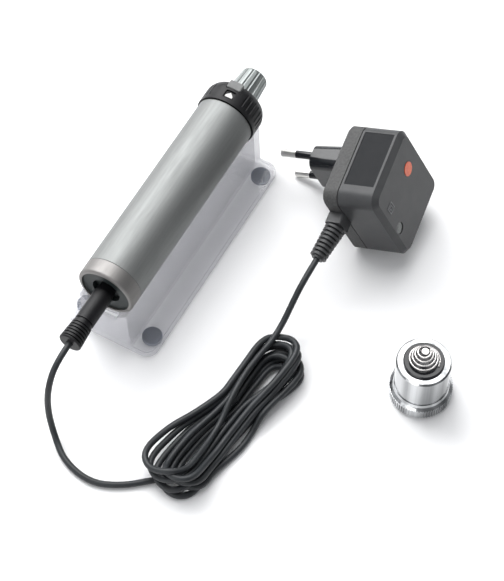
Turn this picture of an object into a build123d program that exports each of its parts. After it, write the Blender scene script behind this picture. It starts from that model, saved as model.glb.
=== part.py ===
"""Rechargeable otoscope handle on its clear desk rest, with charging lead, plug-in supply and spare battery cap.

Millimetres, +Z up. The origin is on the desk under the middle of the rest, and +Y runs along the
handle towards the end that takes the instrument head.
"""

import math
import os

from build123d import *

os.makedirs("parts", exist_ok=True)

# ---------------------------------------------------------------- driving dimensions

# handle, measured along its axis from the middle of the rest
AXIS_Z = 41.25
TUBE_R = 15.0
TUBE_BORE_R = 13.8
TUBE_START = -53.6
TUBE_END = 53.0
CHARGER_START = -61.6
COLLAR_END = 84.0

# desk rest
REST_WIDTH = 50.7
REST_LENGTH = 128.4
REST_WALL = 2.0
FLANGE_BOTTOM = 1.4
FLANGE_TOP = 3.4
BLOCK_BASE_HALF = 14.0
BLOCK_TOP_HALF = 12.9
CRADLE_R = 15.2
FOOT_R = 5.0
FOOT_HEIGHT = 2.2
FOOT_X = 18.6
FOOT_FRONT_Y = -52.2
FOOT_BACK_Y = 56.2

# rheostat ring and fluted collar
RING_START = 53.2
RING_END = 66.5
RING_R = 15.8
JOURNAL_R = 12.0
RUNNING = 0.05
COLLAR_BASE_R = 8.3
COLLAR_TIP_R = 7.1
SOCKET_R = 4.75
SOCKET_FLOOR = 74.0
FLUTES = 16

# low-voltage plug and lead
LEAD_R = 1.6
PLUG_R = 4.9
PLUG_NOSE = -58.4
RELIEF_START = -80.4
RELIEF_END = -93.5
BARREL_R = 2.75
BARREL_TIP = -48.9
LEAD_SPLIT = -104.0

# plug-in supply
SUPPLY_HEIGHT = 45.5
SUPPLY_WIDTH = 49.8
SUPPLY_DEPTH = 30.2
SUPPLY_FRONT_DEPTH = 21.4
SUPPLY_WALL = 2.0
SUPPLY_CORNER_R = 6.5
SUPPLY_EDGE = 2.6
SUPPLY_YAW = 5.0
SUPPLY_DIP = 22.2
SUPPLY_ROLL = 7.5
SUPPLY_X = 97.529
SUPPLY_Y = 61.678
SUPPLY_Z = 36.131
NECK_LENGTH = 22.7
NECK_OFFSET = 9.4
PIN_R = 2.0
PIN_LENGTH = 19.0
PIN_SLEEVE = 10.0
PIN_HALF_PITCH = 9.3
EXIT_DEPTH = 25.2
EXIT_BLOCK = 6.0
EXIT_RELIEF = 19.3
EXIT_ACROSS = -8.3
RELIEF_LEAN = 10.0

# spare battery cap
CAP_X = 146.1
CAP_Y = -14.7
CAP_RIM_R = 15.0
CAP_RIM_HEIGHT = 7.6
CAP_BODY_R = 13.2
CAP_HEIGHT = 29.0
CAP_WALL = 1.5
CAP_DISC_R = 9.9
CAP_DISC_HEIGHT = 1.3
CAP_SPRING_R = 7.6
CAP_SPRING_TIP_R = 2.6
CAP_SPRING_HEIGHT = 8.6
CAP_WIRE_R = 0.4

# route of the lead along the desk, from inside the plug's strain relief to the bundle
LEAD_ROUTE = [
    (0, -92, AXIS_Z),
    (0, -112.5, AXIS_Z),
    (0.5, -122.5, 27.5),
    (2.5, -126.5, 11.5),
    (9.5, -132, LEAD_R + 0.1),
    (22, -137, LEAD_R + 0.1),
    (37, -137, LEAD_R + 0.1),
    (50, -130, LEAD_R + 0.1),
    (59, -118, LEAD_R + 0.1),
]

# outline of the bundle of loose turns
BUNDLE_OUTLINE = [
    (48, -108),
    (52, -95),
    (61, -81),
    (65, -62),
    (65, -45),
    (69, -31),
    (79, -24),
    (90, -27),
    (95.5, -38),
    (92, -56),
    (88, -73),
    (84.5, -92),
    (81, -108),
    (72, -120.5),
    (57, -119.5),
]
BUNDLE_HEIGHT = 7.6
BUNDLE_EDGE = 1.8

axis_line = Axis((0, 0, AXIS_Z), (0, 1, 0))
radial = Plane(origin=(0, 0, AXIS_Z), x_dir=(0, 1, 0), z_dir=(1, 0, 0))


def across(y):
    """The plane square to the handle at a station, its x upwards and its y to the right."""
    return Plane(origin=(0, y, AXIS_Z), x_dir=(0, 0, 1), z_dir=(0, 1, 0))


def save(part, name):
    part.label = name
    export_step(part, f"parts/{name}.step")


def turn_half(a, b, c):
    """Half the angle that the route turns through at b, in radians."""
    return math.radians((Vector(*b) - Vector(*a)).get_angle(Vector(*c) - Vector(*b))) / 2


def route_radii(points, name):
    """The largest tangent arcs that the runs beside each corner allow."""
    radii = []
    for a, b, c in zip(points, points[1:], points[2:]):
        shorter = min((Vector(*b) - Vector(*a)).length, (Vector(*c) - Vector(*b)).length)
        radii.append(0.45 * shorter / math.tan(turn_half(a, b, c)))
    print(name, "radii", [round(r, 1) for r in radii])
    return radii


def report_tube(part, line, name):
    wanted = math.pi * LEAD_R**2 * line.length
    print(name, "length", round(line.length, 1), "volume over section times length", round(part.volume / wanted, 4))


# ---------------------------------------------------------------- desk rest

foot_places = [(x, y) for x in (-FOOT_X, FOOT_X) for y in (FOOT_FRONT_Y, FOOT_BACK_Y)]
BLOCK_TOP = 34.5
CAVITY_TOP = 33.0
NOTCH_HALF = 7.2
NOTCH_BOTTOM = 23.8
FLANGE_CORNER_R = 6.0
RIM_WIDTH = 1.2
RIM_HEIGHT = 0.7
RING_CLEARANCE_START = 52.7
RING_CLEARANCE_R = 16.2

with BuildPart() as rest_shell:
    with BuildSketch(Plane.XY.offset(FLANGE_BOTTOM)):
        RectangleRounded(REST_WIDTH, REST_LENGTH, FLANGE_CORNER_R)
    extrude(amount=FLANGE_TOP - FLANGE_BOTTOM)
    with BuildSketch(Plane.XY.offset(FLANGE_TOP)):
        RectangleRounded(REST_WIDTH, REST_LENGTH, FLANGE_CORNER_R)
        RectangleRounded(
            REST_WIDTH - 2 * RIM_WIDTH, REST_LENGTH - 2 * RIM_WIDTH, FLANGE_CORNER_R - RIM_WIDTH, mode=Mode.SUBTRACT
        )
    extrude(amount=RIM_HEIGHT)
    with BuildSketch(Plane.XZ.offset(-REST_LENGTH / 2)):
        with BuildLine():
            Polyline(
                (-BLOCK_BASE_HALF, FLANGE_BOTTOM),
                (BLOCK_BASE_HALF, FLANGE_BOTTOM),
                (BLOCK_TOP_HALF, BLOCK_TOP),
                (-BLOCK_TOP_HALF, BLOCK_TOP),
                close=True,
            )
        make_face()
    extrude(amount=REST_LENGTH)
    with BuildSketch(across(-REST_LENGTH)):
        Circle(CRADLE_R)
    extrude(amount=2 * REST_LENGTH, mode=Mode.SUBTRACT)
    with BuildSketch(across(RING_CLEARANCE_START)):
        Circle(RING_CLEARANCE_R)
    extrude(amount=REST_LENGTH, mode=Mode.SUBTRACT)
    with BuildSketch(Plane.XZ.offset(-REST_LENGTH / 2 + REST_WALL)):
        with BuildLine():
            Polyline(
                (-BLOCK_BASE_HALF + REST_WALL, 0),
                (BLOCK_BASE_HALF - REST_WALL, 0),
                (BLOCK_TOP_HALF - REST_WALL, CAVITY_TOP),
                (-BLOCK_TOP_HALF + REST_WALL, CAVITY_TOP),
                close=True,
            )
        make_face()
        with Locations((0, AXIS_Z)):
            Circle(CRADLE_R + REST_WALL, mode=Mode.SUBTRACT)
    extrude(amount=REST_LENGTH - 2 * REST_WALL, mode=Mode.SUBTRACT)
    with BuildSketch(Plane.XZ.offset(REST_LENGTH / 2 - REST_WALL - 1)):
        with Locations((0, NOTCH_BOTTOM + NOTCH_HALF)):
            RectangleRounded(2 * NOTCH_HALF, 2 * NOTCH_HALF, 3)
    extrude(amount=REST_WALL + 2, mode=Mode.SUBTRACT)
    with Locations(*[(x, y, FLANGE_BOTTOM) for x, y in foot_places]):
        Cylinder(
            FOOT_R,
            FOOT_HEIGHT - FLANGE_BOTTOM,
            align=(Align.CENTER, Align.CENTER, Align.MIN),
            mode=Mode.SUBTRACT,
        )
save(rest_shell.part, "rest_shell")

with BuildPart() as rest_feet:
    with BuildSketch():
        with Locations(*foot_places):
            Circle(FOOT_R)
    extrude(amount=FOOT_HEIGHT)
    chamfer(rest_feet.edges().group_by(Axis.Z)[0], 0.4)
save(rest_feet.part, "rest_feet")

# ---------------------------------------------------------------- handle tube and charging insert

with BuildPart() as handle_tube:
    with BuildSketch(across(TUBE_START)):
        Circle(TUBE_R)
        Circle(TUBE_BORE_R, mode=Mode.SUBTRACT)
    extrude(amount=TUBE_END - TUBE_START)
    chamfer(handle_tube.edges().filter_by(GeomType.CIRCLE).sort_by(SortBy.RADIUS)[-2:], 0.35)
save(handle_tube.part, "handle_tube")

INSERT_WALL = 2.0
SPIGOT_END = -47.0

with BuildPart() as charging_insert:
    with BuildSketch(across(CHARGER_START)):
        Circle(TUBE_R)
        Circle(TUBE_R - INSERT_WALL, mode=Mode.SUBTRACT)
    extrude(amount=TUBE_START - CHARGER_START)
    fillet(charging_insert.edges().group_by(Axis.Y)[0].sort_by(SortBy.RADIUS)[-1], 1.3)
    with BuildSketch(across(TUBE_START)):
        Circle(TUBE_BORE_R)
        Circle(TUBE_R - INSERT_WALL, mode=Mode.SUBTRACT)
    extrude(amount=SPIGOT_END - TUBE_START)
save(charging_insert.part, "charging_insert")

DISC_FACE = -60.6
DISC_BACK = -48.0
RECESS_R = 7.4
RECESS_FLOOR = -57.8
SLEEVE_R = 3.6
SLEEVE_BORE_R = 2.95
SOCKET_PIN_R = 1.0

with BuildPart() as socket_disc:
    with BuildSketch(across(DISC_FACE)):
        Circle(TUBE_R - INSERT_WALL)
    extrude(amount=DISC_BACK - DISC_FACE)
    with BuildSketch(across(DISC_FACE)):
        Circle(RECESS_R)
    extrude(amount=RECESS_FLOOR - DISC_FACE, mode=Mode.SUBTRACT)
    with BuildSketch(across(RECESS_FLOOR)):
        Circle(SLEEVE_R)
    extrude(amount=DISC_BACK - RECESS_FLOOR, mode=Mode.SUBTRACT)
save(socket_disc.part, "socket_disc")

with BuildPart() as socket_sleeve:
    with BuildSketch(across(RECESS_FLOOR)):
        Circle(SLEEVE_R)
        Circle(SLEEVE_BORE_R, mode=Mode.SUBTRACT)
    extrude(amount=DISC_BACK - RECESS_FLOOR)
save(socket_sleeve.part, "socket_sleeve")

BOARD_FRONT = -48.0
BOARD_BACK = -46.6

with BuildPart() as socket_pin:
    with BuildSketch(across(RECESS_FLOOR + 1)):
        Circle(SOCKET_PIN_R)
    extrude(amount=BOARD_FRONT - RECESS_FLOOR - 1)
    fillet(socket_pin.edges().group_by(Axis.Y)[0], 0.6)
save(socket_pin.part, "socket_pin")

BOARD_R = 12.6
CHIP_OFFSET = 8.5

with BuildPart() as charging_board:
    with BuildSketch(across(BOARD_FRONT)):
        Circle(BOARD_R)
    extrude(amount=BOARD_BACK - BOARD_FRONT)
    with BuildSketch(across(BOARD_BACK)):
        with PolarLocations(CHIP_OFFSET, 4):
            Rectangle(3.4, 5.0)
    extrude(amount=1.6)
save(charging_board.part, "charging_board")

CELL_START = -36.0
CELL_END = 42.0
CELL_R = 12.6
TERMINAL_R = 4.0
TERMINAL_END = 43.6

with BuildPart() as battery_spring:
    with BuildLine():
        spring_line = Helix(
            pitch=(CELL_START - BOARD_BACK - 1) / 4,
            height=CELL_START - BOARD_BACK - 1,
            radius=5.0,
            center=(0, BOARD_BACK + 0.5, AXIS_Z),
            direction=(0, 1, 0),
        )
    with BuildSketch(Plane(origin=spring_line @ 0, z_dir=spring_line % 0)):
        Circle(0.5)
    sweep()
save(battery_spring.part, "battery_spring")

with BuildPart() as battery_cell:
    with BuildSketch(across(CELL_START)):
        Circle(CELL_R)
    extrude(amount=CELL_END - CELL_START)
    fillet(battery_cell.edges().filter_by(GeomType.CIRCLE), 0.8)
save(battery_cell.part, "battery_cell")

with BuildPart() as battery_terminal:
    with BuildSketch(across(CELL_END)):
        Circle(TERMINAL_R)
    extrude(amount=TERMINAL_END - CELL_END)
    fillet(battery_terminal.edges().group_by(Axis.Y)[-1], 0.5)
save(battery_terminal.part, "battery_terminal")

# ---------------------------------------------------------------- head of the handle

CORE_START = 46.0
CORE_SHOULDER = 53.0
JOURNAL_END = 64.6
CORE_BORE_R = 6.4
TRACK_R = 13.5
TRACK_END = 53.9

with BuildPart() as head_core:
    with BuildSketch(radial):
        with BuildLine():
            Polyline(
                (CORE_START, CORE_BORE_R),
                (JOURNAL_END, CORE_BORE_R),
                (JOURNAL_END, JOURNAL_R),
                (CORE_SHOULDER, JOURNAL_R),
                (CORE_SHOULDER, TUBE_BORE_R),
                (CORE_START, TUBE_BORE_R),
                close=True,
            )
        make_face()
    revolve(axis=axis_line)
save(head_core.part, "head_core")

with BuildPart() as contact_plate:
    with BuildSketch(across(TERMINAL_END)):
        Circle(10.0)
    extrude(amount=1.0)
    with BuildSketch(across(TERMINAL_END + 1.0)):
        Circle(2.2)
    extrude(amount=CORE_START + 13.0 - TERMINAL_END)
save(contact_plate.part, "contact_plate")

with BuildPart() as core_insulator:
    with BuildSketch(across(TERMINAL_END + 1.0)):
        Circle(CORE_BORE_R)
        Circle(2.2, mode=Mode.SUBTRACT)
    extrude(amount=CORE_START + 12.0 - TERMINAL_END)
save(core_insulator.part, "core_insulator")

with BuildPart() as rheostat_track:
    with BuildSketch(across(CORE_SHOULDER)):
        Circle(TRACK_R)
        Circle(JOURNAL_R, mode=Mode.SUBTRACT)
    extrude(amount=TRACK_END - CORE_SHOULDER)
save(rheostat_track.part, "rheostat_track")

GRIP_START = 2.4
RING_BACK_BORE_R = 13.9
RING_BACK_DEPTH = 3.0
RING_LIP_R = 8.6
RING_LIP_START = 65.0
RING_NOSE_R = 13.2
BUTTON_WIDTH = 7.6
BUTTON_START = 61.4
BUTTON_END = 66.2
BUTTON_BOTTOM = 13.3
BUTTON_TOP = 16.2
BUTTON_GAP = 0.25
MARK_START = 55.2
MARK_END = 60.2
MARK_WIDTH = 5.6
MARK_FLOOR = 14.8
GRIP_R = 0.7
GRIP_COUNT = 30

with BuildPart() as rheostat_ring:
    with BuildSketch(radial):
        with BuildLine():
            outline = Polyline(
                (RING_START, RING_BACK_BORE_R),
                (RING_START + RING_BACK_DEPTH, RING_BACK_BORE_R),
                (RING_START + RING_BACK_DEPTH, JOURNAL_R + RUNNING),
                (RING_LIP_START, JOURNAL_R + RUNNING),
                (RING_LIP_START, RING_LIP_R),
                (RING_END, RING_LIP_R),
                (RING_END, RING_NOSE_R),
            )
            Spline(
                outline @ 1,
                (RING_END - 1.8, 14.9),
                (RING_END - 5.0, RING_R),
                tangents=[(-0.3, 1), (-1, 0)],
            )
            Polyline((RING_END - 5.0, RING_R), (RING_START, RING_R), outline @ 0)
        make_face()
    revolve(axis=axis_line)
    with BuildSketch(across(RING_START + GRIP_START)):
        with PolarLocations(RING_R + 0.25, GRIP_COUNT, start_angle=30, angular_range=300):
            Circle(GRIP_R)
    extrude(amount=RING_END - RING_START, mode=Mode.SUBTRACT)
    with BuildSketch(Plane.XY.offset(AXIS_Z + JOURNAL_R + RUNNING)):
        with Locations((0, (BUTTON_START - BUTTON_GAP + RING_END + 1) / 2)):
            Rectangle(BUTTON_WIDTH + 2 * BUTTON_GAP, RING_END + 1 - BUTTON_START + BUTTON_GAP)
    extrude(amount=6, mode=Mode.SUBTRACT)
    with BuildSketch(Plane.XY.offset(AXIS_Z + MARK_FLOOR)):
        with Locations((0, (MARK_START + MARK_END) / 2)):
            RectangleRounded(MARK_WIDTH, MARK_END - MARK_START, 1.0)
    extrude(amount=4, mode=Mode.SUBTRACT)
save(rheostat_ring.part, "rheostat_ring")

with BuildPart() as index_mark:
    with BuildSketch(Plane.XY.offset(AXIS_Z + MARK_FLOOR)):
        with BuildLine():
            Polyline((-1.9, 56.3), (1.9, 56.3), (1.9, 57.3), (0, 59.3), (-1.9, 57.3), close=True)
        make_face()
    extrude(amount=0.5)
save(index_mark.part, "index_mark")

with BuildPart() as wiper:
    with BuildSketch(Plane.XY.offset(AXIS_Z - TRACK_R + 0.2)):
        with Locations((0, (TRACK_END + RING_START + RING_BACK_DEPTH) / 2 + 0.05)):
            Rectangle(2.4, RING_START + RING_BACK_DEPTH - TRACK_END - 0.1)
    extrude(amount=1.0)
save(wiper.part, "wiper")

with BuildPart() as lock_button:
    with BuildSketch(Plane.XY.offset(AXIS_Z + BUTTON_BOTTOM)):
        with Locations((0, (BUTTON_START + BUTTON_END) / 2)):
            RectangleRounded(BUTTON_WIDTH, BUTTON_END - BUTTON_START, 0.8)
    extrude(amount=BUTTON_TOP - BUTTON_BOTTOM)
    fillet(lock_button.edges().group_by(Axis.Z)[-1], 0.6)
save(lock_button.part, "lock_button")

LEAF_Y = 63.8

with BuildPart() as button_spring:
    with BuildSketch(Plane.XZ.offset(-LEAF_Y - 1)):
        with BuildLine():
            Polyline(
                (-2.6, AXIS_Z + JOURNAL_R + 0.1),
                (-1.8, AXIS_Z + JOURNAL_R + 0.1),
                (0, AXIS_Z + BUTTON_BOTTOM - 0.25),
                (1.8, AXIS_Z + JOURNAL_R + 0.1),
                (2.6, AXIS_Z + JOURNAL_R + 0.1),
                (2.6, AXIS_Z + JOURNAL_R + 0.3),
                (1.95, AXIS_Z + JOURNAL_R + 0.3),
                (0, AXIS_Z + BUTTON_BOTTOM),
                (-1.95, AXIS_Z + JOURNAL_R + 0.3),
                (-2.6, AXIS_Z + JOURNAL_R + 0.3),
                close=True,
            )
        make_face()
    extrude(amount=2)
save(button_spring.part, "button_spring")

FLUTE_R = 0.95
SOCKET_STEP = 66.6
SEAT_END = 75.3
SEAT_R = 3.9

with BuildPart() as fluted_collar:
    with BuildSketch(radial):
        with BuildLine():
            base = Polyline(
                (COLLAR_END - 0.9, SOCKET_R),
                (SEAT_END, SOCKET_R),
                (SEAT_END, SEAT_R),
                (SOCKET_STEP, SEAT_R),
                (SOCKET_STEP, CORE_BORE_R - 1.9),
                (JOURNAL_END, CORE_BORE_R - 1.9),
                (JOURNAL_END, COLLAR_BASE_R),
                (RING_END + 0.5, COLLAR_BASE_R),
                (COLLAR_END - 1.8, COLLAR_TIP_R),
            )
            ThreePointArc(base @ 1, (COLLAR_END - 0.35, COLLAR_TIP_R - 0.75), (COLLAR_END, SOCKET_R + 0.9))
            Line((COLLAR_END, SOCKET_R + 0.9), base @ 0)
        make_face()
    revolve(axis=axis_line)
    for i in range(FLUTES):
        turn = 360 / FLUTES * i
        with BuildSketch(across(RING_END + 1.4)):
            with PolarLocations(COLLAR_BASE_R + 0.35, 1, start_angle=turn):
                Circle(FLUTE_R)
        with BuildSketch(across(COLLAR_END + 0.2)):
            with PolarLocations(COLLAR_TIP_R + 0.45, 1, start_angle=turn):
                Circle(FLUTE_R)
        loft(mode=Mode.SUBTRACT)
save(fluted_collar.part, "fluted_collar")

PIN_BORE_R = 1.75
CONTACT_R = 1.65
CONTACT_TIP = 75.2
CONTACT_BACK = 68.2

with BuildPart() as socket_insulator:
    with BuildSketch(across(SOCKET_STEP)):
        Circle(SEAT_R)
        Circle(PIN_BORE_R, mode=Mode.SUBTRACT)
    extrude(amount=SOCKET_FLOOR - SOCKET_STEP)
save(socket_insulator.part, "socket_insulator")

with BuildPart() as contact_pin:
    with BuildSketch(across(CONTACT_BACK)):
        Circle(CONTACT_R)
    extrude(amount=CONTACT_TIP - CONTACT_BACK)
    fillet(contact_pin.edges().group_by(Axis.Y)[-1], 0.8)
save(contact_pin.part, "contact_pin")

with BuildPart() as contact_spring:
    with BuildLine():
        coil_line = Helix(
            pitch=1.6,
            height=CONTACT_BACK - CORE_START - 13.0 - 1.6,
            radius=1.2,
            center=(0, CORE_START + 13.0 + 1.3, AXIS_Z),
            direction=(0, 1, 0),
        )
    with BuildSketch(Plane(origin=coil_line @ 0, z_dir=coil_line % 0)):
        Circle(0.2)
    sweep()
save(contact_spring.part, "contact_spring")

# ---------------------------------------------------------------- low-voltage plug

LEAD_HOLE_R = LEAD_R + 0.2
LEAD_HOLE_END = RELIEF_START + 1.5
INNER_R = 2.2
INNER_BORE_R = 1.6
CONTACT_BORE_R = 1.15

with BuildPart() as plug_body:
    with BuildSketch(radial):
        with BuildLine():
            Polyline(
                (RELIEF_START, 0),
                (RELIEF_START, PLUG_R),
                (PLUG_NOSE - 5.0, PLUG_R),
                (PLUG_NOSE - 3.2, PLUG_R - 0.5),
                (PLUG_NOSE, PLUG_R - 0.7),
                (PLUG_NOSE, 0),
                close=True,
            )
        make_face()
    revolve(axis=axis_line)
    with BuildSketch(across(RELIEF_START)):
        Circle(LEAD_HOLE_R)
    extrude(amount=LEAD_HOLE_END - RELIEF_START, mode=Mode.SUBTRACT)
save(plug_body.part, "plug_body")

with BuildPart() as plug_barrel:
    with BuildSketch(across(PLUG_NOSE)):
        Circle(BARREL_R)
        Circle(INNER_R, mode=Mode.SUBTRACT)
    extrude(amount=BARREL_TIP - PLUG_NOSE)
save(plug_barrel.part, "plug_barrel")

with BuildPart() as plug_insulator:
    with BuildSketch(across(PLUG_NOSE)):
        Circle(INNER_R)
        Circle(INNER_BORE_R, mode=Mode.SUBTRACT)
    extrude(amount=BARREL_TIP - 0.4 - PLUG_NOSE)
save(plug_insulator.part, "plug_insulator")

with BuildPart() as plug_contact:
    with BuildSketch(across(PLUG_NOSE)):
        Circle(INNER_BORE_R)
        Circle(CONTACT_BORE_R, mode=Mode.SUBTRACT)
    extrude(amount=BARREL_TIP - 0.4 - PLUG_NOSE)
save(plug_contact.part, "plug_contact")

RIDGES = 7
RIDGE_PITCH = (RELIEF_START - RELIEF_END - 1.2) / RIDGES
CORE_R = 4.3

with BuildPart() as plug_strain_relief:
    with BuildSketch(across(RELIEF_END)):
        Circle(CORE_R)
    extrude(amount=RELIEF_START - RELIEF_END)
    for i in range(RIDGES):
        ridge_r = 5.85 - 0.13 * i
        ridge_y = RELIEF_END + i * RIDGE_PITCH
        with BuildSketch(across(ridge_y)):
            Circle(ridge_r)
        extrude(amount=RIDGE_PITCH * 0.62)
    fillet(plug_strain_relief.edges().group_by(Axis.Y)[0], 0.8)
    with BuildSketch(across(RELIEF_END)):
        Circle(LEAD_HOLE_R)
    extrude(amount=RELIEF_START - RELIEF_END, mode=Mode.SUBTRACT)
save(plug_strain_relief.part, "plug_strain_relief")

# ---------------------------------------------------------------- lead, bundle and tail

with BuildPart() as lead_stub:
    with BuildSketch(across(LEAD_SPLIT)):
        Circle(LEAD_R)
    extrude(amount=LEAD_ROUTE[0][1] - LEAD_SPLIT)
save(lead_stub.part, "lead_stub")

lead_radii = route_radii(LEAD_ROUTE, "lead")
with BuildPart() as lead_run:
    with BuildLine() as lead_line:
        FilletPolyline((0, LEAD_SPLIT, AXIS_Z), *LEAD_ROUTE[1:], radius=lead_radii)
    with BuildSketch(Plane(origin=lead_line.wires()[0] @ 0, z_dir=lead_line.wires()[0] % 0)):
        Circle(LEAD_R)
    sweep(path=lead_line.wires()[0])
report_tube(lead_run.part, lead_line.wires()[0], "lead_run")
save(lead_run.part, "lead_run")

with BuildPart() as lead_bundle:
    with BuildSketch():
        with BuildLine():
            Spline(*BUNDLE_OUTLINE, periodic=True)
        make_face()
    extrude(amount=BUNDLE_HEIGHT)
    chamfer(lead_bundle.edges().group_by(Axis.Z)[-1], BUNDLE_EDGE)
save(lead_bundle.part, "lead_bundle")

# ---------------------------------------------------------------- plug-in supply

# The supply lies on its side, leaning on the lower mains pin and on one corner of its back.
yaw = math.radians(SUPPLY_YAW)
dip = math.radians(SUPPLY_DIP)
roll = math.radians(SUPPLY_ROLL)
supply_back = Vector(-math.cos(yaw) * math.cos(dip), -math.sin(yaw) * math.cos(dip), -math.sin(dip))
level = Vector(-math.sin(yaw), math.cos(yaw), 0)
supply_up = level * math.cos(roll) - supply_back.cross(level) * math.sin(roll)
supply = Plane(origin=(SUPPLY_X, SUPPLY_Y, SUPPLY_Z), x_dir=supply_up, z_dir=supply_back)

POST_X = SUPPLY_HEIGHT / 2 - 6.0
POST_Y = SUPPLY_WIDTH / 2 - 6.0
POST_R = 2.8
SCREW_R = 1.2
SCREW_HEAD_R = 2.2
PANEL_DEPTH = 0.6

with BuildPart() as supply_front_shell:
    with BuildSketch(supply):
        RectangleRounded(SUPPLY_HEIGHT, SUPPLY_WIDTH, SUPPLY_CORNER_R)
    extrude(amount=SUPPLY_FRONT_DEPTH)
    front_face = supply_front_shell.faces().sort_by(Axis(supply.origin, supply.z_dir))[0]
    chamfer(front_face.edges(), SUPPLY_EDGE)
    with BuildSketch(supply.offset(SUPPLY_WALL)):
        RectangleRounded(SUPPLY_HEIGHT - 2 * SUPPLY_WALL - 3, SUPPLY_WIDTH - 2 * SUPPLY_WALL - 3, 3)
    extrude(amount=2, mode=Mode.SUBTRACT)
    with BuildSketch(supply.offset(SUPPLY_WALL + 2)):
        RectangleRounded(SUPPLY_HEIGHT - 2 * SUPPLY_WALL, SUPPLY_WIDTH - 2 * SUPPLY_WALL, 3.5)
    extrude(amount=SUPPLY_FRONT_DEPTH, mode=Mode.SUBTRACT)
    with BuildSketch(supply.offset(SUPPLY_WALL)):
        with GridLocations(2 * POST_X, 2 * POST_Y, 2, 2):
            Circle(POST_R)
    extrude(amount=SUPPLY_FRONT_DEPTH - SUPPLY_WALL)
    with BuildSketch(supply.offset(SUPPLY_FRONT_DEPTH - 10)):
        with GridLocations(2 * POST_X, 2 * POST_Y, 2, 2):
            Circle(SCREW_R)
    extrude(amount=12, mode=Mode.SUBTRACT)
    with BuildSketch(supply.offset(SUPPLY_EDGE + 1.2)):
        with Locations((2.0, -SUPPLY_WIDTH / 2)):
            Rectangle(SUPPLY_HEIGHT - 2 * SUPPLY_CORNER_R - 2, 2 * PANEL_DEPTH)
    extrude(amount=SUPPLY_FRONT_DEPTH - SUPPLY_EDGE - 2.4, mode=Mode.SUBTRACT)
    with BuildSketch(supply):
        with Locations((-16.5, 6)):
            Circle(3.1)
    extrude(amount=0.9, mode=Mode.SUBTRACT)
save(supply_front_shell.part, "supply_front_shell")

with BuildPart() as supply_side_panel:
    with BuildSketch(supply.offset(SUPPLY_EDGE + 1.2)):
        with Locations((2.0, -SUPPLY_WIDTH / 2 + PANEL_DEPTH * 0.7)):
            Rectangle(SUPPLY_HEIGHT - 2 * SUPPLY_CORNER_R - 2, PANEL_DEPTH * 0.6)
    extrude(amount=SUPPLY_FRONT_DEPTH - SUPPLY_EDGE - 2.4)
save(supply_side_panel.part, "supply_side_panel")

SEAM = 0.5
BACK_START = SUPPLY_FRONT_DEPTH + SEAM

with BuildPart() as supply_back_shell:
    with BuildSketch(supply.offset(BACK_START)):
        RectangleRounded(SUPPLY_HEIGHT, SUPPLY_WIDTH, SUPPLY_CORNER_R)
    extrude(amount=SUPPLY_DEPTH - BACK_START)
    back_face = supply_back_shell.faces().sort_by(Axis(supply.origin, supply.z_dir))[-1]
    chamfer(back_face.edges(), 1.2)
    with BuildSketch(supply.offset(SUPPLY_FRONT_DEPTH)):
        RectangleRounded(SUPPLY_HEIGHT - 2, SUPPLY_WIDTH - 2, SUPPLY_CORNER_R - 1)
    extrude(amount=SEAM)
    with BuildSketch(supply.offset(SUPPLY_FRONT_DEPTH)):
        RectangleRounded(SUPPLY_HEIGHT - 2 * SUPPLY_WALL, SUPPLY_WIDTH - 2 * SUPPLY_WALL, 3.5)
    extrude(amount=SUPPLY_DEPTH - SUPPLY_FRONT_DEPTH - SUPPLY_WALL, mode=Mode.SUBTRACT)
    with BuildSketch(supply.offset(SUPPLY_FRONT_DEPTH)):
        with GridLocations(2 * POST_X, 2 * POST_Y, 2, 2):
            Circle(POST_R)
    extrude(amount=SUPPLY_DEPTH - SUPPLY_FRONT_DEPTH - SUPPLY_WALL)
    with BuildSketch(supply.offset(SUPPLY_FRONT_DEPTH)):
        with GridLocations(2 * POST_X, 2 * POST_Y, 2, 2):
            Circle(SCREW_R)
    extrude(amount=SUPPLY_DEPTH, mode=Mode.SUBTRACT)
    with BuildSketch(supply.offset(SUPPLY_DEPTH - 3)):
        with GridLocations(2 * POST_X, 2 * POST_Y, 2, 2):
            Circle(SCREW_HEAD_R)
    extrude(amount=4, mode=Mode.SUBTRACT)
save(supply_back_shell.part, "supply_back_shell")

with BuildPart() as supply_screws:
    with BuildSketch(supply.offset(SUPPLY_FRONT_DEPTH - 9)):
        with GridLocations(2 * POST_X, 2 * POST_Y, 2, 2):
            Circle(SCREW_R)
    extrude(amount=SUPPLY_DEPTH - 3 - SUPPLY_FRONT_DEPTH + 9)
    with BuildSketch(supply.offset(SUPPLY_DEPTH - 3)):
        with GridLocations(2 * POST_X, 2 * POST_Y, 2, 2):
            Circle(SCREW_HEAD_R - 0.1)
    extrude(amount=1.8)
save(supply_screws.part, "supply_screws")

NECK_HALF = 13.8
NECK_TIP_HALF = 12.4
NECK_THICK = 14.0

with BuildPart() as mains_neck:
    with BuildSketch(supply.offset(SUPPLY_DEPTH)):
        with Locations((NECK_OFFSET, 0)):
            RectangleRounded(NECK_THICK + 1.0, 2 * NECK_HALF, 5)
    with BuildSketch(supply.offset(SUPPLY_DEPTH + NECK_LENGTH)):
        with Locations((NECK_OFFSET, 0)):
            RectangleRounded(NECK_THICK - 0.6, 2 * NECK_TIP_HALF, 5)
    loft()
    with BuildSketch(supply.offset(SUPPLY_DEPTH + NECK_LENGTH - PIN_LENGTH / 2)):
        with Locations((NECK_OFFSET, -PIN_HALF_PITCH), (NECK_OFFSET, PIN_HALF_PITCH)):
            Circle(PIN_R - 0.4)
    extrude(amount=PIN_LENGTH, mode=Mode.SUBTRACT)
save(mains_neck.part, "mains_neck")

neck_end = SUPPLY_DEPTH + NECK_LENGTH

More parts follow.
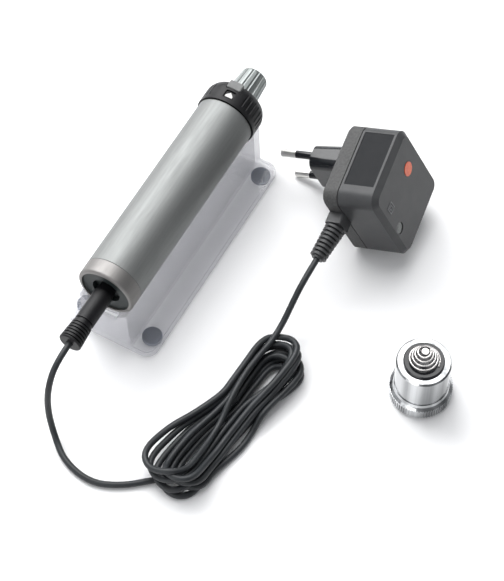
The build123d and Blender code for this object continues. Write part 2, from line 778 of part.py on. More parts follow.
with BuildPart() as mains_pins:
    with BuildSketch(supply.offset(neck_end - PIN_LENGTH / 2)):
        with Locations((NECK_OFFSET, -PIN_HALF_PITCH), (NECK_OFFSET, PIN_HALF_PITCH)):
            Circle(PIN_R - 0.4)
    extrude(amount=PIN_LENGTH / 2 + PIN_SLEEVE)
    with BuildSketch(supply.offset(neck_end + PIN_SLEEVE)):
        with Locations((NECK_OFFSET, -PIN_HALF_PITCH), (NECK_OFFSET, PIN_HALF_PITCH)):
            Circle(PIN_R)
    extrude(amount=PIN_LENGTH - PIN_SLEEVE)
    tips = mains_pins.edges().group_by(Axis(supply.origin, supply.z_dir))[-1]
    fillet(tips, 1.2)
save(mains_pins.part, "mains_pins")

with BuildPart() as pin_sleeves:
    with BuildSketch(supply.offset(neck_end)):
        with Locations((NECK_OFFSET, -PIN_HALF_PITCH), (NECK_OFFSET, PIN_HALF_PITCH)):
            Circle(PIN_R)
            Circle(PIN_R - 0.4, mode=Mode.SUBTRACT)
    extrude(amount=PIN_SLEEVE)
save(pin_sleeves.part, "pin_sleeves")

with BuildPart() as supply_dot:
    with BuildSketch(supply.offset(-0.3)):
        with Locations((9.0, -8.0)):
            Circle(3.6)
    extrude(amount=0.3)
save(supply_dot.part, "supply_dot")

with BuildPart() as status_lens:
    with BuildSketch(supply.offset(0.4)):
        with Locations((-16.5, 6)):
            Circle(2.9)
    extrude(amount=0.5)
save(status_lens.part, "status_lens")

CORE_WIDTH = 24.0
CORE_THICK = 11.0

with BuildPart() as transformer_core:
    with BuildSketch(supply.offset(6.0)):
        with Locations((2.0, 0)):
            Rectangle(26, CORE_WIDTH)
            Rectangle(18, CORE_WIDTH - 8, mode=Mode.SUBTRACT)
            Rectangle(18, 5)
    extrude(amount=CORE_THICK)
save(transformer_core.part, "transformer_core")

with BuildPart() as transformer_winding:
    with BuildSketch(supply.offset(6.2)):
        with Locations((2.0, 0)):
            Rectangle(17, CORE_WIDTH - 8.6)
            Rectangle(17, 5.2, mode=Mode.SUBTRACT)
    extrude(amount=CORE_THICK - 0.4)
save(transformer_winding.part, "transformer_winding")

with BuildPart() as supply_board:
    with BuildSketch(supply.offset(18.0)):
        Rectangle(SUPPLY_HEIGHT - 18, SUPPLY_WIDTH - 10)
    extrude(amount=1.4)
    with BuildSketch(supply.offset(19.4)):
        with Locations((-8, -8), (-8, 9)):
            Circle(3.5)
        with Locations((6, 0)):
            Rectangle(6, 12)
    extrude(amount=5.5)
save(supply_board.part, "supply_board")

exit_plane = Plane(
    origin=supply.from_local_coords(Vector(-SUPPLY_HEIGHT / 2, EXIT_ACROSS, EXIT_DEPTH)),
    x_dir=supply_back,
    z_dir=-supply_up,
)
lean = math.radians(RELIEF_LEAN)
relief_out = supply_back * math.sin(lean) - supply_up * math.cos(lean)
relief_plane = Plane(origin=exit_plane.offset(EXIT_BLOCK - 0.6).origin, x_dir=supply_back, z_dir=relief_out)
RELIEF_RIBS = 8
RIB_START = 1.4
RIB_PITCH = (EXIT_RELIEF - RIB_START) / RELIEF_RIBS

with BuildPart() as supply_strain_relief:
    with BuildSketch(exit_plane):
        RectangleRounded(9.0, 10.4, 1.6)
    extrude(amount=EXIT_BLOCK)
    with BuildSketch(relief_plane):
        Circle(3.7)
    with BuildSketch(relief_plane.offset(EXIT_RELIEF)):
        Circle(2.9)
    loft()
    for i in range(RELIEF_RIBS):
        with BuildSketch(relief_plane.offset(RIB_START + i * RIB_PITCH)):
            Circle(5.2 - 0.13 * i)
        extrude(amount=RIB_PITCH * 0.5)
save(supply_strain_relief.part, "supply_strain_relief")

# the tail leaves the strain relief level, sinks to the desk and runs into the near end of the bundle
tail_start = relief_plane.from_local_coords(Vector(0, 0, EXIT_RELIEF))
tail_out = tail_start + relief_out * 12
print("tail start", tail_start, "straight to", tail_out)
TAIL_ROUTE = [
    tuple(tail_start),
    tuple(tail_out),
    (73.9, -10.5, 16.5),
    (73.4, -21.5, 8.2),
    (74.0, -29.5, 4.2),
]
tail_radii = route_radii(TAIL_ROUTE, "tail")
with BuildPart() as lead_tail:
    with BuildLine() as tail_line:
        FilletPolyline(*TAIL_ROUTE, radius=tail_radii)
    with BuildSketch(Plane(origin=tail_line.wires()[0] @ 0, z_dir=tail_line.wires()[0] % 0)):
        Circle(LEAD_R)
    sweep(path=tail_line.wires()[0])
report_tube(lead_tail.part, tail_line.wires()[0], "lead_tail")
save(lead_tail.part, "lead_tail")

# ---------------------------------------------------------------- spare battery cap

cap_base = Plane(origin=(CAP_X, CAP_Y, 0), x_dir=(1, 0, 0), z_dir=(0, 0, 1))
cap_profile = Plane(origin=(CAP_X, CAP_Y, 0), x_dir=(1, 0, 0), z_dir=(0, -1, 0))
cap_axis = Axis((CAP_X, CAP_Y, 0), (0, 0, 1))
BAND_R = CAP_BODY_R - 0.25
BAND_START = 9.3
BAND_END = 10.9

with BuildPart() as cap_body:
    with BuildSketch(cap_profile):
        with BuildLine():
            Polyline(
                (0, 0),
                (CAP_RIM_R - 1.0, 0),
                (CAP_RIM_R, 1.0),
                (CAP_RIM_R, CAP_RIM_HEIGHT - 0.8),
                (CAP_RIM_R - 0.9, CAP_RIM_HEIGHT),
                (CAP_BODY_R + 0.5, CAP_RIM_HEIGHT + 0.3),
                (CAP_BODY_R, BAND_START),
                (BAND_R, BAND_START),
                (BAND_R, BAND_END),
                (CAP_BODY_R, BAND_END),
                (CAP_BODY_R, CAP_HEIGHT - 0.8),
                (CAP_BODY_R - 0.8, CAP_HEIGHT),
                (CAP_DISC_R - 1.5, CAP_HEIGHT),
                (CAP_DISC_R - 1.5, CAP_WALL + CAP_RIM_HEIGHT),
                (0, CAP_WALL + CAP_RIM_HEIGHT),
                close=True,
            )
        make_face()
    revolve(axis=cap_axis)
save(cap_body.part, "cap_body")

with BuildPart() as cap_insulator:
    with BuildSketch(cap_base.offset(CAP_HEIGHT)):
        Circle(CAP_DISC_R)
    extrude(amount=CAP_DISC_HEIGHT)
    chamfer(cap_insulator.edges().group_by(Axis.Z)[-1], 0.5)
    with BuildSketch(cap_base.offset(CAP_HEIGHT - 4)):
        Circle(CAP_DISC_R - 1.5)
    extrude(amount=4)
save(cap_insulator.part, "cap_insulator")

CAP_SPRING_START = CAP_HEIGHT + CAP_DISC_HEIGHT
CAP_TURNS = 3.5
cone = math.degrees(math.atan((CAP_SPRING_R - CAP_SPRING_TIP_R) / (CAP_SPRING_HEIGHT - 2 * CAP_WIRE_R)))

with BuildPart() as cap_spring:
    with BuildLine():
        cap_line = Helix(
            pitch=(CAP_SPRING_HEIGHT - 2 * CAP_WIRE_R) / CAP_TURNS,
            height=CAP_SPRING_HEIGHT - 2 * CAP_WIRE_R,
            radius=CAP_SPRING_R,
            center=(CAP_X, CAP_Y, CAP_SPRING_START + CAP_WIRE_R),
            direction=(0, 0, 1),
            cone_angle=-cone,
        )
    with BuildSketch(Plane(origin=cap_line @ 0, z_dir=cap_line % 0)):
        Circle(CAP_WIRE_R)
    sweep()
save(cap_spring.part, "cap_spring")

with BuildPart() as cap_contact:
    with BuildSketch(cap_base.offset(CAP_SPRING_START + CAP_SPRING_HEIGHT - 1.2)):
        Circle(1.7)
    extrude(amount=1.0)
save(cap_contact.part, "cap_contact")
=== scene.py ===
import bpy
import math
from mathutils import Matrix, Vector


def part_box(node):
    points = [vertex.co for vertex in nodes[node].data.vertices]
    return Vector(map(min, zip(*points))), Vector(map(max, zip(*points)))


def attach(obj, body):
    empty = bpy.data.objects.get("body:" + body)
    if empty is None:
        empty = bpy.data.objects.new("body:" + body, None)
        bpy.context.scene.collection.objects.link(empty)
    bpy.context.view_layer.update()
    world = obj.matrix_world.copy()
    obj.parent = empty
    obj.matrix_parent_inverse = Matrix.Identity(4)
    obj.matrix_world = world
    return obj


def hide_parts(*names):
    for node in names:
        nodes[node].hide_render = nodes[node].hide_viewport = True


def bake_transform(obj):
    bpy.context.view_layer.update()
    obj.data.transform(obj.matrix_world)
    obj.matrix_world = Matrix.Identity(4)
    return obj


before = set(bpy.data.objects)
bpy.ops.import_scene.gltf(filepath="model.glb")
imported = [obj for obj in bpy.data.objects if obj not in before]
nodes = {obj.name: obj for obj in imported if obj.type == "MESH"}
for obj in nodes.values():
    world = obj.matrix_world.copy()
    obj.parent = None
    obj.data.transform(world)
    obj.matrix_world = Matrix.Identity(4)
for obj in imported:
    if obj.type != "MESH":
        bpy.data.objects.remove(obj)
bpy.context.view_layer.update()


# ------------------------------------------------------------------ camera, desk and lights

AZIMUTH = math.radians(29.3)
ELEVATION = math.radians(58.66)
CAMERA_DISTANCE = 1.0886
LOOK_AT = Vector((0.0478, -0.00484, 0.0))

camera_data = bpy.data.cameras.new("studio_camera")
camera = bpy.data.objects.new("studio_camera", camera_data)
bpy.context.scene.collection.objects.link(camera)
camera_data.lens = 136.3
camera_data.sensor_width = 36.0
camera_data.clip_start = 0.05
camera_data.clip_end = 20
towards_camera = Vector((
    math.sin(AZIMUTH) * math.cos(ELEVATION),
    -math.cos(AZIMUTH) * math.cos(ELEVATION),
    math.sin(ELEVATION),
))
camera.location = LOOK_AT + CAMERA_DISTANCE * towards_camera
camera.rotation_euler = towards_camera.to_track_quat("Z", "Y").to_euler()
bpy.context.scene.camera = camera


def softbox(name, place, aim, width, height, power):
    """A rectangular studio light, its power in watts."""
    data = bpy.data.lights.new(name, "AREA")
    data.shape = "RECTANGLE"
    data.size = width
    data.size_y = height
    data.energy = power
    light = bpy.data.objects.new(name, data)
    bpy.context.scene.collection.objects.link(light)
    light.location = place
    light.rotation_euler = (Vector(place) - Vector(aim)).to_track_quat("Z", "Y").to_euler()


middle = (0.05, -0.01, 0)
softbox("key_softbox", (-0.95, 0.5, 0.95), middle, 1.2, 1.2, 24)
softbox("top_softbox", (-0.25, 0.4, 1.5), middle, 1.2, 1.2, 16)
softbox("front_fill", (-0.1, -1.4, 0.8), middle, 1.2, 0.8, 6)
bpy.context.scene.view_settings.view_transform = "Standard"

world = bpy.data.worlds.new("studio_room")
bpy.context.scene.world = world
world.use_nodes = True
room = world.node_tree
where = room.nodes.new("ShaderNodeTexCoord")
sides = room.nodes.new("ShaderNodeSeparateXYZ")
fall_off = room.nodes.new("ShaderNodeMapRange")
fall_off.inputs["From Min"].default_value = -0.6
fall_off.inputs["From Max"].default_value = 0.5
fall_off.inputs["To Min"].default_value = 0.62
fall_off.inputs["To Max"].default_value = 0.3
room.links.new(where.outputs["Generated"], sides.inputs["Vector"])
room.links.new(sides.outputs["X"], fall_off.inputs["Value"])
room.links.new(fall_off.outputs["Result"], room.nodes["Background"].inputs["Strength"])
room.nodes["Background"].inputs["Color"].default_value = (0.95, 0.97, 1.0, 1)


# ------------------------------------------------------------------ finishes

def finish(name, colour, roughness, metallic=0.0, **sockets):
    """A material with its plain values on the shader's own sockets."""
    material = bpy.data.materials.new(name)
    material.use_nodes = True
    shader = material.node_tree.nodes["Principled BSDF"]
    shader.inputs["Base Color"].default_value = (*colour, 1)
    shader.inputs["Roughness"].default_value = roughness
    shader.inputs["Metallic"].default_value = metallic
    for socket, value in sockets.items():
        shader.inputs[socket.replace("_", " ")].default_value = value
    return material


def noise_on(material, scale, stretch, detail):
    """The material's node tree and shader, with a noise in the object's own space."""
    tree = material.node_tree
    where = tree.nodes.new("ShaderNodeTexCoord")
    mapping = tree.nodes.new("ShaderNodeMapping")
    mapping.inputs["Scale"].default_value = stretch
    noise = tree.nodes.new("ShaderNodeTexNoise")
    noise.inputs["Scale"].default_value = scale
    noise.inputs["Detail"].default_value = detail
    tree.links.new(where.outputs["Object"], mapping.inputs["Vector"])
    tree.links.new(mapping.outputs["Vector"], noise.inputs["Vector"])
    return tree, tree.nodes["Principled BSDF"], noise.outputs["Fac"]


def grain(material, scale, low, high, stretch=(1, 1, 1)):
    """Roughness that varies between two limits."""
    tree, shader, noise = noise_on(material, scale, stretch, detail=4)
    spread = tree.nodes.new("ShaderNodeMapRange")
    spread.inputs["From Min"].default_value = 0.3
    spread.inputs["From Max"].default_value = 0.7
    spread.inputs["To Min"].default_value = low
    spread.inputs["To Max"].default_value = high
    tree.links.new(noise, spread.inputs["Value"])
    tree.links.new(spread.outputs["Result"], shader.inputs["Roughness"])


def mottle_and_painted_streaks(material, scale, dark, light, stretch=(1, 1, 1)):
    """Base colour that drifts between two tones: close ones for random tone, far apart for the
    painted reflection streaks on the spare cap.
    """
    tree, shader, noise = noise_on(material, scale, stretch, detail=3)
    ramp = tree.nodes.new("ShaderNodeValToRGB")
    for stop, position, tone in zip(ramp.color_ramp.elements, (0.35, 0.65), (dark, light)):
        stop.position = position
        stop.color = (*tone, 1)
    tree.links.new(noise, ramp.inputs["Fac"])
    tree.links.new(ramp.outputs["Color"], shader.inputs["Base Color"])


def relief(material, scale, height, strength, stretch=(1, 1, 1)):
    """A fine bump, its height in metres."""
    tree, shader, noise = noise_on(material, scale, stretch, detail=2)
    bump = tree.nodes.new("ShaderNodeBump")
    bump.inputs["Strength"].default_value = strength
    bump.inputs["Distance"].default_value = height
    tree.links.new(noise, bump.inputs["Height"])
    tree.links.new(bump.outputs["Normal"], shader.inputs["Normal"])


desk_paint = finish("pale_desk", (0.9, 0.9, 0.905), 0.85)
mottle_and_painted_streaks(desk_paint, 3, (0.89, 0.89, 0.895), (0.91, 0.91, 0.915))

satin_barrel = finish("satin_blasted_chrome", (0.25, 0.257, 0.254), 0.62, 1.0)
grain(satin_barrel, 900, 0.57, 0.67, stretch=(1, 0.08, 1))
relief(satin_barrel, 2600, 0.00002, 0.25, stretch=(1, 0.3, 1))

warm_barrel = finish("satin_chrome_insert", (0.235, 0.228, 0.222), 0.56, 1.0)
grain(warm_barrel, 900, 0.5, 0.6, stretch=(1, 0.1, 1))

collar_plate = finish("collar_plating", (0.24, 0.255, 0.252), 0.4, 1.0)
grain(collar_plate, 600, 0.36, 0.46, stretch=(1, 0.2, 1))

bright_plate = finish("bright_plating", (0.5, 0.51, 0.52), 0.14, 1.0)
grain(bright_plate, 300, 0.1, 0.2)

pin_plate = finish("pin_plating", (0.72, 0.715, 0.69), 0.34, 1.0)
grain(pin_plate, 500, 0.3, 0.38)

# Painted reflection: upright dark and light streaks in the cap's base colour stand in for
# surroundings mirrored in the chrome.
cap_plate_painted_reflection = finish("cap_plating_painted_reflection_streaks", (0.5, 0.51, 0.52), 0.13, 1.0)
mottle_and_painted_streaks(cap_plate_painted_reflection, 130, (0.2, 0.205, 0.21), (0.72, 0.73, 0.74), stretch=(1, 1, 0.01))

black_moulding = finish("black_moulding", (0.007, 0.007, 0.008), 0.42, Specular_IOR_Level=0.24)
mottle_and_painted_streaks(black_moulding, 200, (0.005, 0.005, 0.006), (0.009, 0.009, 0.01))
relief(black_moulding, 3000, 0.00003, 0.2)

socket_moulding = finish("socket_moulding", (0.012, 0.018, 0.018), 0.46, Specular_IOR_Level=0.25)
mottle_and_painted_streaks(socket_moulding, 160, (0.01, 0.015, 0.015), (0.016, 0.022, 0.022))
relief(socket_moulding, 1800, 0.00004, 0.3)

button_moulding = finish("pale_grey_button", (0.14, 0.143, 0.142), 0.45, Specular_IOR_Level=0.35)
mottle_and_painted_streaks(button_moulding, 250, (0.125, 0.128, 0.127), (0.155, 0.158, 0.157))

charcoal_case = finish("charcoal_case", (0.043, 0.043, 0.045), 0.42, Specular_IOR_Level=0.3)
mottle_and_painted_streaks(charcoal_case, 120, (0.04, 0.041, 0.043), (0.048, 0.049, 0.051))
relief(charcoal_case, 2200, 0.00005, 0.35)

textured_case = finish("spark_textured_case", (0.05, 0.05, 0.05), 0.62, Specular_IOR_Level=0.4)
mottle_and_painted_streaks(textured_case, 900, (0.042, 0.042, 0.042), (0.062, 0.062, 0.062))
relief(textured_case, 1500, 0.0001, 0.6)

gloss_moulding = finish("gloss_black_moulding", (0.008, 0.009, 0.011), 0.16)
grain(gloss_moulding, 300, 0.12, 0.22)

panel_moulding = finish("side_panel_moulding", (0.008, 0.009, 0.011), 0.4, Specular_IOR_Level=0.1)
grain(panel_moulding, 400, 0.36, 0.46)

white_inlay = finish("white_inlay", (0.6, 0.6, 0.585), 0.45)
mottle_and_painted_streaks(white_inlay, 500, (0.56, 0.56, 0.545), (0.63, 0.63, 0.615))

orange_print = finish("orange_print", (0.75, 0.13, 0.05), 0.4)
mottle_and_painted_streaks(orange_print, 600, (0.7, 0.11, 0.045), (0.8, 0.16, 0.06))

faint_print = finish("faint_grey_print", (0.16, 0.165, 0.17), 0.5)
mottle_and_painted_streaks(faint_print, 700, (0.14, 0.145, 0.15), (0.18, 0.185, 0.19))

lens_tint = finish("tinted_lens", (0.06, 0.07, 0.065), 0.1)
grain(lens_tint, 500, 0.06, 0.14)

lead_jacket = finish("lead_jacket", (0.017, 0.019, 0.022), 0.45, Specular_IOR_Level=0.4)
mottle_and_painted_streaks(lead_jacket, 90, (0.014, 0.016, 0.018), (0.021, 0.024, 0.027))
relief(lead_jacket, 1800, 0.00003, 0.25)

foot_rubber = finish("grey_foot_rubber", (0.14, 0.175, 0.23), 0.7)
mottle_and_painted_streaks(foot_rubber, 250, (0.125, 0.155, 0.21), (0.16, 0.2, 0.26))

spring_wire = finish("spring_wire", (0.6, 0.58, 0.57), 0.2, 1.0)
grain(spring_wire, 700, 0.15, 0.28)

brass_turning = finish("brass_turning", (0.75, 0.58, 0.3), 0.28, 1.0)
grain(brass_turning, 500, 0.22, 0.35)

board_resist = finish("board_resist", (0.02, 0.16, 0.07), 0.35)
mottle_and_painted_streaks(board_resist, 200, (0.018, 0.14, 0.06), (0.025, 0.18, 0.08))

cell_wrap = finish("cell_wrap", (0.06, 0.16, 0.35), 0.3)
mottle_and_painted_streaks(cell_wrap, 60, (0.055, 0.15, 0.33), (0.07, 0.18, 0.38))

laminated_iron = finish("laminated_iron", (0.25, 0.24, 0.23), 0.5, 0.8)
grain(laminated_iron, 800, 0.4, 0.6)

enamelled_wire = finish("enamelled_wire", (0.6, 0.25, 0.1), 0.3, 0.6)
grain(enamelled_wire, 900, 0.25, 0.4)

pale_insulator = finish("pale_insulator", (0.75, 0.73, 0.68), 0.5)
mottle_and_painted_streaks(pale_insulator, 300, (0.72, 0.7, 0.65), (0.78, 0.76, 0.71))

clear_plastic = finish("clear_plastic", (0.52, 0.52, 0.56), 0.07, IOR=1.47, Alpha=0.3)
grain(clear_plastic, 60, 0.05, 0.1)
clear_tree = clear_plastic.node_tree
edge_on = clear_tree.nodes.new("ShaderNodeLayerWeight")
edge_on.inputs["Blend"].default_value = 0.35
film = clear_tree.nodes.new("ShaderNodeMapRange")
film.inputs["To Min"].default_value = 0.2
film.inputs["To Max"].default_value = 0.62
clear_tree.links.new(edge_on.outputs["Facing"], film.inputs["Value"])
clear_tree.links.new(film.outputs["Result"], clear_tree.nodes["Principled BSDF"].inputs["Alpha"])

node_finish = {
    "rest_shell": clear_plastic,
    "rest_feet": foot_rubber,
    "handle_tube": satin_barrel,
    "charging_insert": warm_barrel,
    "socket_disc": socket_moulding,
    "socket_sleeve": bright_plate,
    "socket_pin": bright_plate,
    "charging_board": board_resist,
    "battery_spring": spring_wire,
    "battery_cell": cell_wrap,
    "battery_terminal": bright_plate,
    "contact_plate": brass_turning,
    "core_insulator": pale_insulator,
    "head_core": black_moulding,
    "rheostat_track": brass_turning,
    "rheostat_ring": black_moulding,
    "index_mark": white_inlay,
    "wiper": brass_turning,
    "lock_button": button_moulding,
    "button_spring": spring_wire,
    "fluted_collar": collar_plate,
    "socket_insulator": black_moulding,
    "contact_pin": brass_turning,
    "contact_spring": spring_wire,
    "plug_body": black_moulding,
    "plug_barrel": bright_plate,
    "plug_insulator": black_moulding,
    "plug_contact": bright_plate,
    "plug_strain_relief": black_moulding,
    "supply_front_shell": charcoal_case,
    "supply_back_shell": textured_case,
    "supply_side_panel": panel_moulding,
    "supply_screws": spring_wire,
    "mains_neck": gloss_moulding,
    "mains_pins": pin_plate,
    "pin_sleeves": gloss_moulding,
    "supply_dot": orange_print,
    "status_lens": lens_tint,
    "supply_strain_relief": charcoal_case,
    "transformer_core": laminated_iron,
    "transformer_winding": enamelled_wire,
    "supply_board": board_resist,
    "cap_body": cap_plate_painted_reflection,
    "cap_insulator": gloss_moulding,
    "cap_spring": spring_wire,
    "cap_contact": spring_wire,
}
for node, material in node_finish.items():
    nodes[node].data.materials.clear()
    nodes[node].data.materials.append(material)


# ------------------------------------------------------------------ desk

bpy.ops.object.select_all(action="DESELECT")
bpy.ops.mesh.primitive_plane_add(size=8, location=(0, 0, -0.0002))
desk = bpy.context.object
desk.name = "desk"
desk.data.materials.append(desk_paint)


# ------------------------------------------------------------------ lead

MM = 0.001
LEAD_RADIUS = 0.0016
FLOOR_LAYER = 0.00165  # height of the lead's centre where it lies on the desk
LAYER = 0.0029  # how much higher it lies where it crosses over another stretch

# Straight out of the plug, down to the desk and across it to the bundle.
lead_points = [
    (0.0, -0.0925, 0.04125),
    (0.0, -0.1055, 0.04125),
    (0.0, -0.114, 0.031),
    (0.0005, -0.1175, 0.015),
    (0.0065, -0.1225, 0.0021),
    (0.0175, -0.1315, FLOOR_LAYER),
    (0.034, -0.1350, FLOOR_LAYER),
    (0.0475, -0.1290, FLOOR_LAYER),
    (0.0575, -0.1205, FLOOR_LAYER),
    (0.0670, -0.1125, FLOOR_LAYER),
]

# The loose turns, from the first laid to the last, in millimetres. Each goes up the right
# side (x at the foot, knee, waist and head), over the head (its far y) and down the left
# side (x at the head, waist, knee and foot), and round the foot (its far y).
turns = [
    (74.0, 77.0, 82.5, 94.0, -31.6, 75.5, 70.8, 65.0, 60.5, -121.3),
    (79.0, 81.0, 85.0, 92.8, -36.0, 77.6, 74.6, 69.0, 66.3, -115.5),
    (81.6, 86.6, 87.4, 93.6, -30.0, 71.5, 69.4, 62.0, 57.2, -121.5),
    (76.5, 78.5, 80.4, 90.6, -33.0, 73.2, 72.4, 67.0, 63.8, -117.0),
    (80.4, 82.0, 84.4, 90.2, -26.8, 69.6, 67.6, 60.0, 53.2, -120.4),
    (75.2, 75.6, 77.8, 86.6, -28.6, 70.4, 70.2, 65.5, 61.5, -118.6),
    (78.4, 79.4, 82.0, 88.4, -25.3, 68.4, 66.8, 59.2, 49.4, -119.4),
]
FOOT_Y = -103
SHIN_Y = -94
KNEE_Y = -84
THIGH_Y = -75
WAIST_Y = -66
END_BEND = 1.08
END_ANGLES = (22.5, 67.5, 112.5, 157.5)
LAST_FOOT_X = 73.6
ARRIVAL_POINTS = 5
OWN_TAIL = 18  # samples of the stretch just laid, which the lead can't lie on


def mix(a, b, share):
    """The value a given share of the way from a to b."""
    return a + share * (b - a)


def end_bend(start_x, end_x, far_y):
    """Half a turn round an end, from one side of the bundle to the other."""
    radius = (end_x - start_x) / 2
    middle_x = (start_x + end_x) / 2
    reach = abs(radius)
    middle_y = far_y - reach if far_y > WAIST_Y else far_y + reach
    outwards = 1 if far_y > WAIST_Y else -1
    return [
        (
            middle_x - END_BEND * radius * math.cos(math.radians(step)),
            middle_y + outwards * END_BEND * reach * math.sin(math.radians(step)),
        )
        for step in END_ANGLES
    ]


flat_route = []
for i, turn in enumerate(turns):
    right_foot, right_knee, right_waist, right_head, head_y = turn[:5]
    left_head, left_waist, left_knee, left_foot, foot_y = turn[5:]
    flat_route += [
        (right_foot, FOOT_Y),
        (mix(right_foot, right_knee, 0.45), SHIN_Y),
        (right_knee, KNEE_Y),
        (mix(right_knee, right_waist, 0.5), THIGH_Y),
        (right_waist, WAIST_Y),
        (mix(right_waist, right_head, 0.36), -57),
        (mix(right_waist, right_head, 0.74), -48),
    ]
    flat_route += end_bend(right_head, left_head, head_y)
    flat_route += [
        (mix(left_head, left_waist, 0.35), -50),
        (mix(left_head, left_waist, 0.75), -58),
        (left_waist, WAIST_Y),
        (mix(left_waist, left_knee, 0.45), THIGH_Y),
        (left_knee, KNEE_Y),
        (mix(left_knee, left_foot, 0.66), SHIN_Y),
    ]
    next_right = turns[i + 1][0] if i + 1 < len(turns) else LAST_FOOT_X
    flat_route += end_bend(left_foot, next_right, foot_y)
# The last stretch, over the finished bundle and off its head.
flat_route += [
    (73.4, -101),
    (73.4, -91),
    (73.0, -80),
    (72.0, -70),
    (71.2, -60),
    (71.2, -50),
    (72.0, -40),
]


def samples(a, b, count=6):
    """Evenly spaced places from a towards b, without b."""
    return [tuple(mix(p, q, k / count) for p, q in zip(a, b)) for k in range(count)]


def resting_height(x, y, below):
    """How high the lead's centre lies where it crosses what is already down."""
    height = FLOOR_LAYER
    for bx, by, bz in below:
        apart = math.hypot(x - bx, y - by)
        if apart < 2 * LEAD_RADIUS:
            height = max(height, bz + LAYER * math.sqrt(1 - (apart / (2 * LEAD_RADIUS)) ** 2))
    return height


laid = []
on_desk = lead_points[ARRIVAL_POINTS:]
for a, b in zip(on_desk, on_desk[1:]):
    laid += samples(a, b)
for i, (x, y) in enumerate(flat_route):
    x, y = MM * x, MM * y
    before = lead_points[-1]
    ahead = flat_route[min(i + 1, len(flat_route) - 1)]
    ahead = (MM * ahead[0], MM * ahead[1])
    spots = [
        (mix(x, other[0], share), mix(y, other[1], share))
        for other in (before, ahead)
        for share in (0, 0.2, 0.4)
    ]
    below = laid[:-OWN_TAIL] if len(laid) > OWN_TAIL else []
    height = max(resting_height(*spot, below) for spot in spots)
    lead_points.append((x, y, height))
    laid += samples(before, lead_points[-1])

# Up from the bundle's head into the supply's strain relief.
lead_points += [
    (0.0732, -0.0300, 0.0102),
    (0.0736, -0.0200, 0.0125),
    (0.0739, -0.0105, 0.0192),
    (0.0742, -0.0015, 0.0247),
    (0.0747, 0.0140, 0.0277),
]


def lead_curve(name, points, thickness):
    """One open NURBS spline through the route's control points."""
    curve = bpy.data.curves.new(name, "CURVE")
    curve.dimensions = "3D"
    spline = curve.splines.new("NURBS")
    spline.points.add(len(points) - 1)
    for point, place in zip(spline.points, points):
        point.co = (*place, 1)
    spline.order_u = 3
    spline.use_endpoint_u = True
    spline.resolution_u = 5
    curve.resolution_u = 5
    curve.bevel_depth = thickness
    curve.bevel_resolution = 3
    curve.use_fill_caps = True
    return bpy.data.objects.new(name, curve)


def as_mesh(curve_object, name):
    """The curve as it is drawn, turned into a mesh; the curve itself is removed."""
    bpy.context.scene.collection.objects.link(curve_object)
    bpy.context.view_layer.update()
    mesh = bpy.data.meshes.new_from_object(curve_object)
    mesh.name = name
    bpy.data.objects.remove(curve_object)
    return mesh


line_mesh = as_mesh(lead_curve("lead_line", lead_points, 0), "lead_line")
lead_mesh = as_mesh(lead_curve("lead_tube", lead_points, LEAD_RADIUS), "charging_lead")
lead = bpy.data.objects.new("charging_lead", lead_mesh)
bpy.context.scene.collection.objects.link(lead)
lead.data.materials.clear()
lead.data.materials.append(lead_jacket)
for polygon in lead.data.polygons:
    polygon.use_smooth = True
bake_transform(lead)
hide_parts("lead_stub", "lead_run", "lead_bundle", "lead_tail")


# ------------------------------------------------------------------ hand-worked pieces

def start_mesh(name):
    """Leave only the new primitive in hand and open it for shaping."""
    piece = bpy.context.object
    piece.name = name
    piece.data.name = name
    bpy.ops.object.mode_set(mode="EDIT")
    return piece


def choose(piece, kind, test):
    """Select the vertices, edges or faces that pass a test."""
    bpy.ops.object.mode_set(mode="OBJECT")
    bpy.ops.object.mode_set(mode="EDIT")
    bpy.ops.mesh.select_mode(type={"vertices": "VERT", "edges": "EDGE", "polygons": "FACE"}[kind])
    bpy.ops.mesh.select_all(action="DESELECT")
    bpy.ops.object.mode_set(mode="OBJECT")
    for item in getattr(piece.data, kind):
        item.select = test(item)
    bpy.ops.object.mode_set(mode="EDIT")


def settle(piece, material, smooth_angle=40):
    """Close the shaping: outward faces, place in the mesh, smooth shading, one finish."""
    bpy.ops.object.mode_set(mode="EDIT")
    bpy.ops.mesh.select_all(action="SELECT")
    bpy.ops.mesh.normals_make_consistent(inside=False)
    bpy.ops.object.mode_set(mode="OBJECT")
    bpy.ops.object.select_all(action="DESELECT")
    piece.select_set(True)
    bpy.context.view_layer.objects.active = piece
    bpy.ops.object.transform_apply(location=True, rotation=True, scale=True)
    bpy.ops.object.shade_smooth_by_angle(angle=math.radians(smooth_angle))
    piece.data.materials.clear()
    piece.data.materials.append(material)


def join_copies(copies, name):
    """Several meshes joined into the first, under one name."""
    bpy.ops.object.select_all(action="DESELECT")
    for copy in copies:
        copy.select_set(True)
    bpy.context.view_layer.objects.active = copies[0]
    bpy.ops.object.join()
    joined = bpy.context.object
    joined.name = name
    joined.data.name = name
    return joined


RIDGES = 72
RIDGE_SLOPE = 0.00009
RIDGE_HEIGHT = 0.00032
BAND_FOOT, BAND_TOP = 0.0011, 0.0066
HEM_SHRINK = 0.975


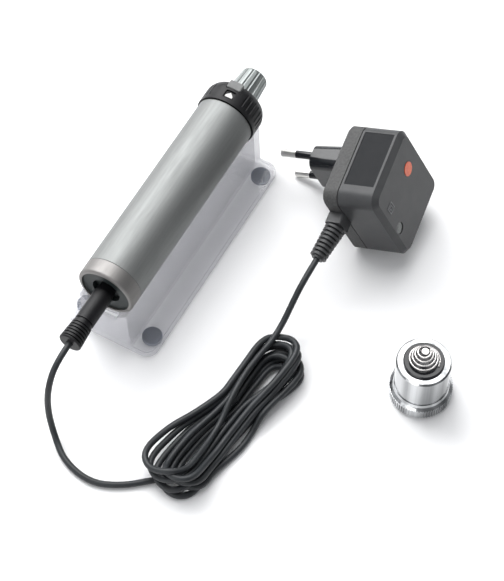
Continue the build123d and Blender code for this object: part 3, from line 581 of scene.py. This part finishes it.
def knurled_band():
    """The fine upright ridges round the foot of the spare cap."""
    low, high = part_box("cap_body")
    centre_x, centre_y = (low[0] + high[0]) / 2, (low[1] + high[1]) / 2
    rim_radius = (high[0] - low[0]) / 2
    bpy.ops.object.select_all(action="DESELECT")
    bpy.ops.mesh.primitive_cylinder_add(
        vertices=2 * RIDGES,
        radius=rim_radius,
        depth=BAND_TOP - BAND_FOOT,
        end_fill_type="NOTHING",
        location=(centre_x, centre_y, (BAND_TOP + BAND_FOOT) / 2),
    )
    band = start_mesh("cap_knurling")
    choose(band, "polygons", lambda face: face.index % 2 == 0)
    bpy.ops.mesh.inset(thickness=RIDGE_SLOPE, use_individual=True)
    bpy.ops.transform.shrink_fatten(value=RIDGE_HEIGHT)
    half_band = (BAND_TOP - BAND_FOOT) / 2
    choose(band, "edges", lambda edge: all(
        abs(abs(band.data.vertices[v].co.z) - half_band) < 1e-6 for v in edge.vertices
    ))
    bpy.ops.mesh.extrude_edges_move()
    bpy.ops.transform.resize(
        value=(HEM_SHRINK, HEM_SHRINK, 1), center_override=(centre_x, centre_y, BAND_FOOT)
    )
    # The knurled band takes the cap plating with its painted reflection streaks.
    settle(band, cap_plate_painted_reflection, 25)
    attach(band, "spare_cap")


def middle_of(node):
    low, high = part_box(node)
    return (Vector(low) + Vector(high)) / 2


# Steps on the supply's front face, up and across it, in metres.
DOT_TO_LENS = (-0.0255, 0.014)
DOT_TO_MARK = (-0.0234, -0.0011)
SQUARE_SIZES = (0.0046, 0.0024)
SQUARE_LINE = 0.00042
SQUARE_THICKNESS = 0.0003


def front_of_supply():
    """The middle of the dot, and the front face's directions up, across and outwards."""
    dot = middle_of("supply_dot")
    to_lens = middle_of("status_lens") - dot
    largest = max(nodes["supply_dot"].data.polygons, key=lambda face: face.area)
    outwards = largest.normal.copy()
    if outwards.x < 0:
        outwards.negate()
    to_lens -= to_lens.dot(outwards) * outwards
    turned = (-outwards).cross(to_lens)
    up = (DOT_TO_LENS[0] * to_lens - DOT_TO_LENS[1] * turned).normalized()
    across = (-outwards).cross(up)
    return dot, up, across, outwards


def insulation_mark():
    """Two plain squares, one inside the other, moulded a hair proud of the front face."""
    dot, up, across, outwards = front_of_supply()
    place = dot + DOT_TO_MARK[0] * up + DOT_TO_MARK[1] * across
    squares = []
    for size in SQUARE_SIZES:
        bpy.ops.object.select_all(action="DESELECT")
        bpy.ops.mesh.primitive_plane_add(size=size, location=place)
        bpy.context.object.matrix_world = Matrix((up, across, -outwards)).transposed().to_4x4()
        bpy.context.object.location = place
        square = start_mesh("insulation_square")
        bpy.ops.mesh.select_all(action="SELECT")
        bpy.ops.mesh.inset(thickness=SQUARE_LINE)
        bpy.ops.mesh.delete(type="FACE")
        bpy.ops.object.mode_set(mode="OBJECT")
        wall = square.modifiers.new("thickness", "SOLIDIFY")
        wall.thickness = SQUARE_THICKNESS
        wall.offset = 0
        bpy.ops.object.modifier_apply(modifier="thickness")
        squares.append(square)
    mark = join_copies(squares, "insulation_mark")
    settle(mark, faint_print)
    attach(mark, "rest_and_supply")


knurled_band()
insulation_mark()
